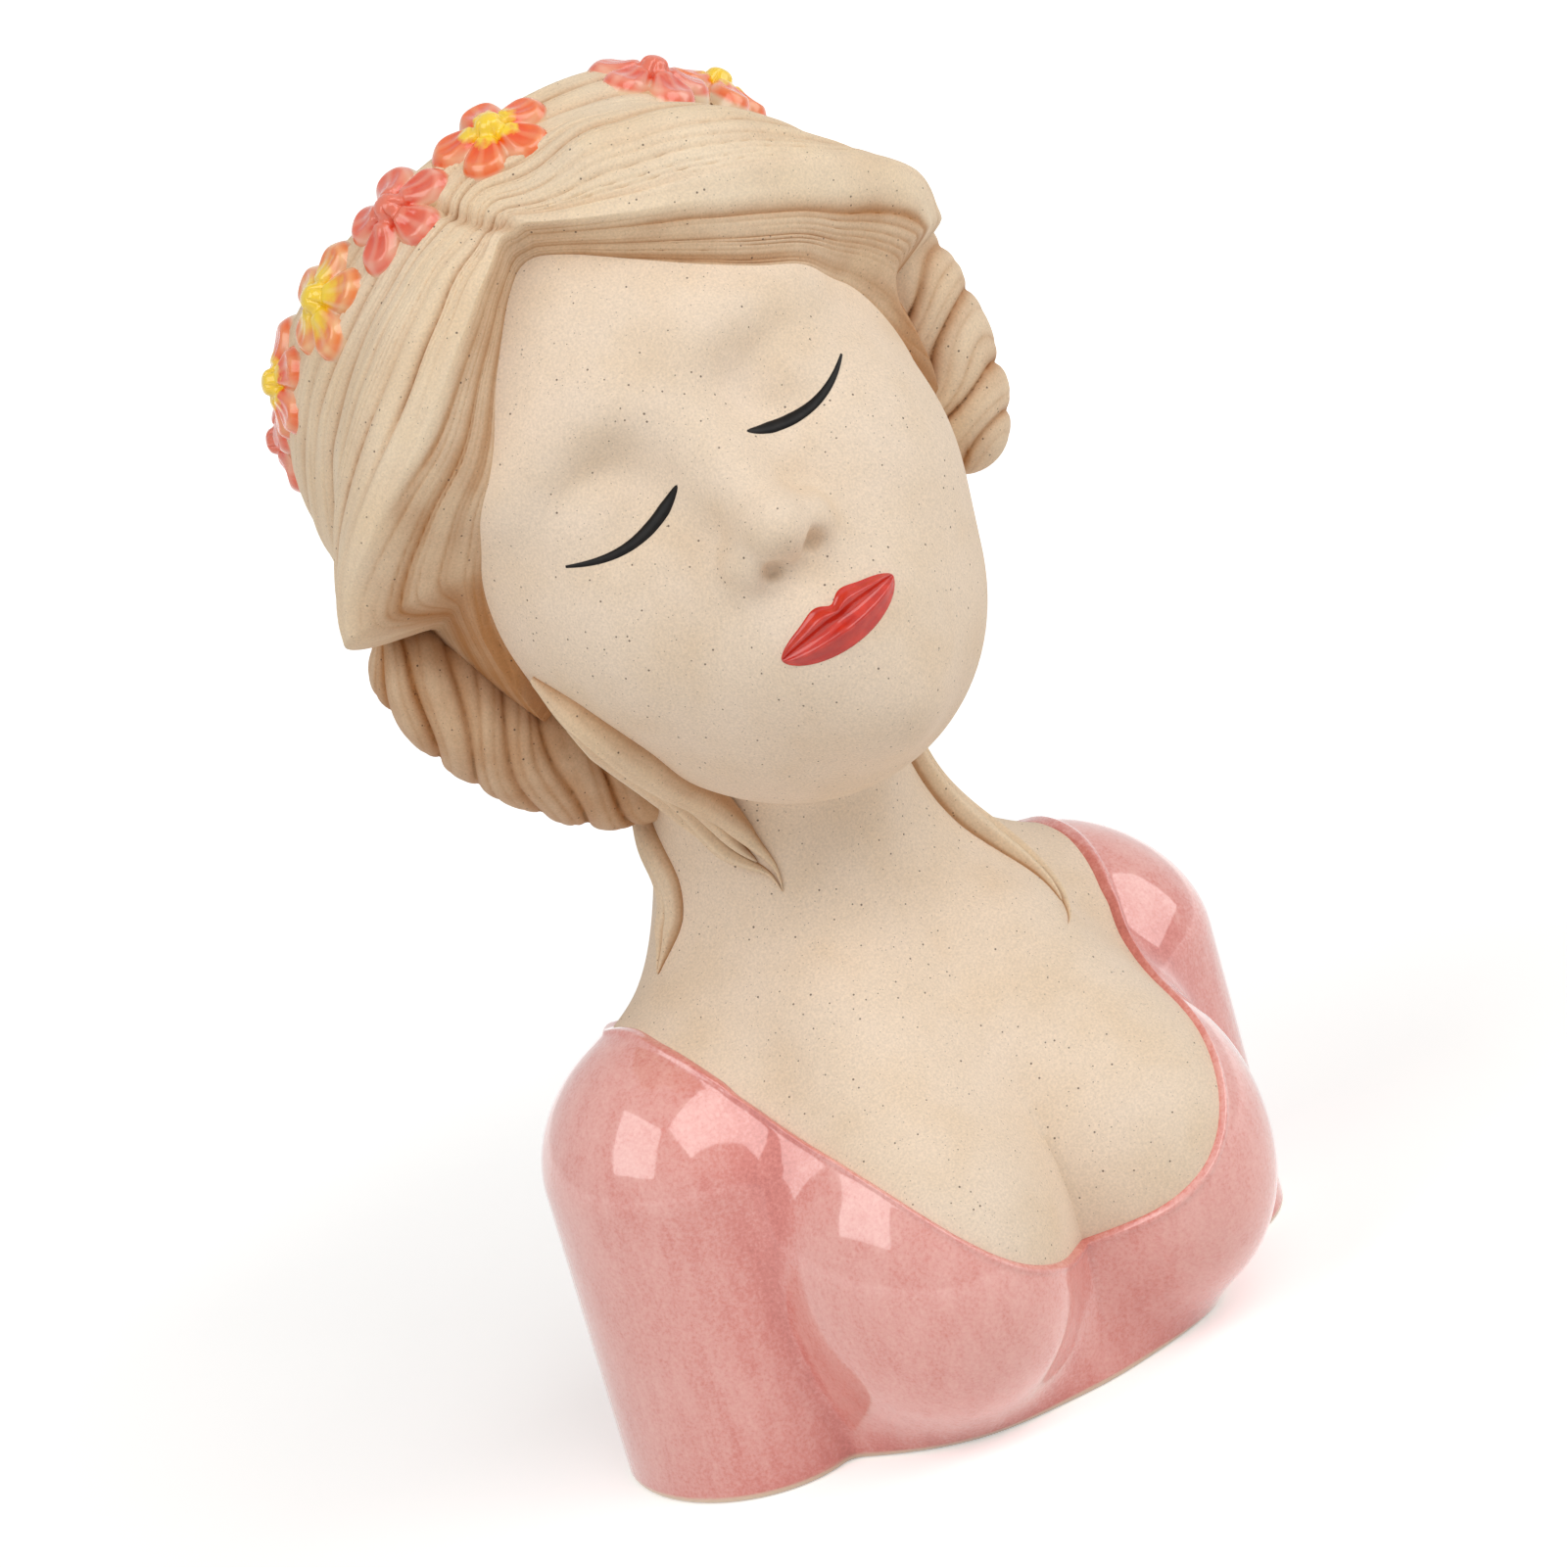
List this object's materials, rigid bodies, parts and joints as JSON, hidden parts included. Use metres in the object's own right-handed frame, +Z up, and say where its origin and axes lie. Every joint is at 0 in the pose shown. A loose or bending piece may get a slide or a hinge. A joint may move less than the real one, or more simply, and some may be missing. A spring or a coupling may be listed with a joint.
{
  "type": "head planter",
  "caption": "Hollow bust of a lady with a tilted head, pinned hair, a flower garland and an open crown that holds a small plant.",
  "frame": {"origin": "centre of the base, on the surface it stands on", "axes": "+Z up, the front of the bust towards -Y, +X to the viewer's right"},
  "size_m": [0.138, 0.1375, 0.2335],
  "materials": {
    "bare_clay": "matte bare stoneware, cream with fine dark speckles",
    "washed_clay": "matte stoneware with a honey-brown wash in the grooves",
    "blouse_glaze": "glossy mottled pink glaze over stoneware",
    "lip_glaze": "glossy red glaze",
    "lash_glaze": "glossy black underglaze line",
    "coral_glaze": "glossy translucent coral glaze",
    "orange_glaze": "glossy translucent orange glaze",
    "yellow_glaze": "glossy translucent yellow glaze"
  },
  "bodies": {
    "root": {"blouse": "blouse_glaze", "neck_and_chest": "bare_clay", "floor_plate": "bare_clay", "head": "bare_clay", "hair_back": "washed_clay", "hair_sweep_left": "washed_clay", "hair_sweep_right": "washed_clay", "hair_roll_left": "washed_clay", "hair_roll_right": "washed_clay", "hair_roll_nape": "washed_clay", "lock_left": "washed_clay", "lock_nape": "washed_clay", "lock_right": "washed_clay", "lips": "lip_glaze", "lash_left": "lash_glaze", "lash_right": "lash_glaze", "rim_band": "washed_clay", "flower_01": "coral_glaze", "flower_02": "orange_glaze", "flower_03": "yellow_glaze", "flower_04": "coral_glaze", "flower_05": "orange_glaze", "flower_06": "coral_glaze", "flower_07": "yellow_glaze", "flower_08": "orange_glaze", "flower_09": "coral_glaze", "flower_10": "yellow_glaze", "flower_11": "orange_glaze", "flower_12": "coral_glaze"}
  },
  "joints": []
}
